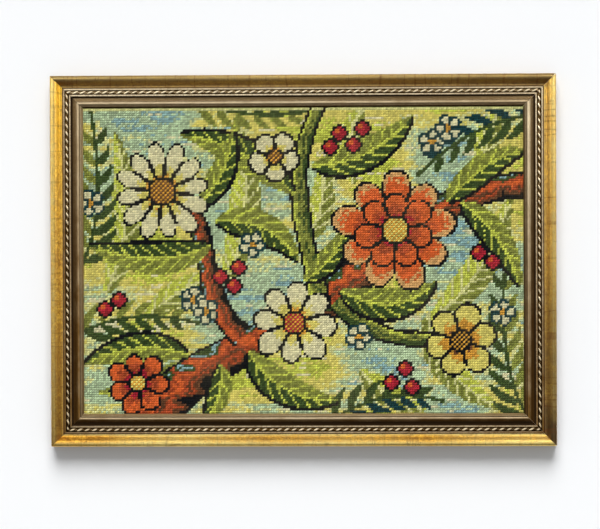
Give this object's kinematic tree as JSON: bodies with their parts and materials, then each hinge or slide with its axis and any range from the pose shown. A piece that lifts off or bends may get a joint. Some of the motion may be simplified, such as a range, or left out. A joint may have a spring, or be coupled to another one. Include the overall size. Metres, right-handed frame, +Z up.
{
  "type": "framed needlepoint tapestry",
  "caption": "Wool needlepoint picture, a floral design, stretched in a mitred gold-leaf and bronze wooden frame with a rope ornament.",
  "frame": {"origin": "middle of the top rail's flat back, where the frame hangs on the wall", "axes": "+X to the picture's right as seen from the front, +Y into the wall, +Z up"},
  "size_m": [0.546, 0.022, 0.401],
  "materials": {
    "gilt_moulding": "wooden moulding, gold leaf on the outer band and bronze leaf on the inner steps",
    "rope_ornament": "pressed composition rope, pale bronze leaf with dark patina in the hollows",
    "worked_wool": "wool tent stitch on cotton canvas, many colours"
  },
  "bodies": {
    "root": {"rail_top": "gilt_moulding", "rail_right": "gilt_moulding", "rail_bottom": "gilt_moulding", "rail_left": "gilt_moulding", "rope_top": "rope_ornament", "rope_right": "rope_ornament", "rope_bottom": "rope_ornament", "rope_left": "rope_ornament", "tapestry_canvas": "worked_wool"}
  },
  "joints": []
}
